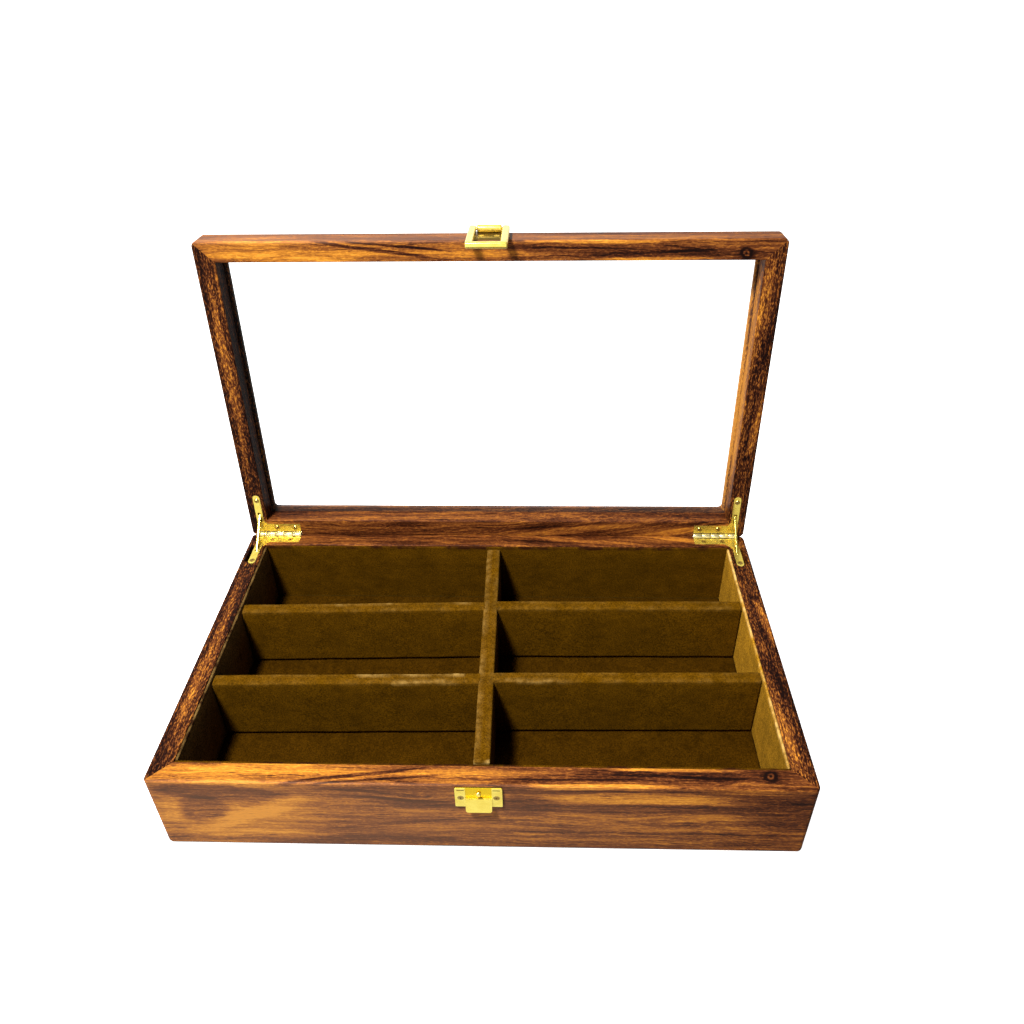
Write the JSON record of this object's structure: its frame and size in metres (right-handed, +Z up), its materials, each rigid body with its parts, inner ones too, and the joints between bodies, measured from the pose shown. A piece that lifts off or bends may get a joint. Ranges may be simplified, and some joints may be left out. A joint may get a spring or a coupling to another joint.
{
  "type": "multi glasses organizer",
  "caption": "Varnished wooden case for folded spectacles with a hinged glass lid, brass stays, hasp clasp and velvet-lined compartments.",
  "frame": {"origin": "centre of the flat underside of the case", "axes": "+X to the right seen from the front, the front with the clasp faces -Y, +Z up"},
  "size_m": [0.3826, 0.2641, 0.2957],
  "materials": {
    "varnished_wood": "satin gloss varnish",
    "bottom_plywood": "matte",
    "divider_wood": "raw",
    "olive_velvet": "short pile velvet",
    "clear_glass": "clear",
    "polished_brass": "polished",
    "screw_brass": "polished"
  },
  "bodies": {
    "base": {"back_board": "varnished_wood", "back_lining": "olive_velvet", "bottom_panel": "bottom_plywood", "catch_plate": "polished_brass", "catch_rivet": "polished_brass", "catch_screws": "screw_brass", "centre_divider_core": "divider_wood", "centre_divider_cover": "olive_velvet", "floor_pad": "olive_velvet", "front_board": "varnished_wood", "front_lining": "olive_velvet", "hinge_base_screws": "screw_brass", "left_board": "varnished_wood", "left_front_divider_core": "divider_wood", "left_front_divider_cover": "olive_velvet", "left_hinge_base_leaf": "polished_brass", "left_hinge_pin": "polished_brass", "left_lining": "olive_velvet", "left_rear_divider_core": "divider_wood", "left_rear_divider_cover": "olive_velvet", "right_board": "varnished_wood", "right_front_divider_core": "divider_wood", "right_front_divider_cover": "olive_velvet", "right_hinge_base_leaf": "polished_brass", "right_hinge_pin": "polished_brass", "right_lining": "olive_velvet", "right_rear_divider_core": "divider_wood", "right_rear_divider_cover": "olive_velvet"},
    "lid": {"clasp_pin": "polished_brass", "clasp_plate": "polished_brass", "clasp_screws": "screw_brass", "glass_pane": "clear_glass", "hinge_lid_screws": "screw_brass", "left_hinge_lid_leaf": "polished_brass", "left_stay_rivet": "polished_brass", "lid_back_rail": "varnished_wood", "lid_front_rail": "varnished_wood", "lid_left_stile": "varnished_wood", "lid_right_stile": "varnished_wood", "right_hinge_lid_leaf": "polished_brass", "right_stay_rivet": "polished_brass"},
    "left_stay": {"left_stay": "polished_brass", "left_stay_stop": "polished_brass"},
    "right_stay": {"right_stay": "polished_brass", "right_stay_stop": "polished_brass"},
    "hasp": {"clasp_hasp": "polished_brass"}
  },
  "joints": [
    {"name": "lid_hinge", "type": "hinge", "parent": "base", "child": "lid", "pos_m": [0, 0.11344, 0.0613], "axis": [1, 0, 0], "range_deg": [0, 93.3]},
    {"name": "left_stay_pivot", "type": "hinge", "parent": "lid", "child": "left_stay", "pos_m": [-0.183, 0.1174, 0.07783], "axis": [1, 0, 0], "range_deg": [-46.7, 0]},
    {"name": "right_stay_pivot", "type": "hinge", "parent": "lid", "child": "right_stay", "pos_m": [0.183, 0.1174, 0.07783], "axis": [1, 0, 0], "range_deg": [-46.7, 0]},
    {"name": "hasp_pivot", "type": "hinge", "parent": "lid", "child": "hasp", "pos_m": [0, 0.14153, 0.2914], "axis": [-1, 0, 0], "range_deg": [0, 170]}
  ],
  "couplings": [
    {"joint": "left_stay_pivot", "follows": "lid_hinge", "ratio": -0.5},
    {"joint": "right_stay_pivot", "follows": "lid_hinge", "ratio": -0.5}
  ]
}
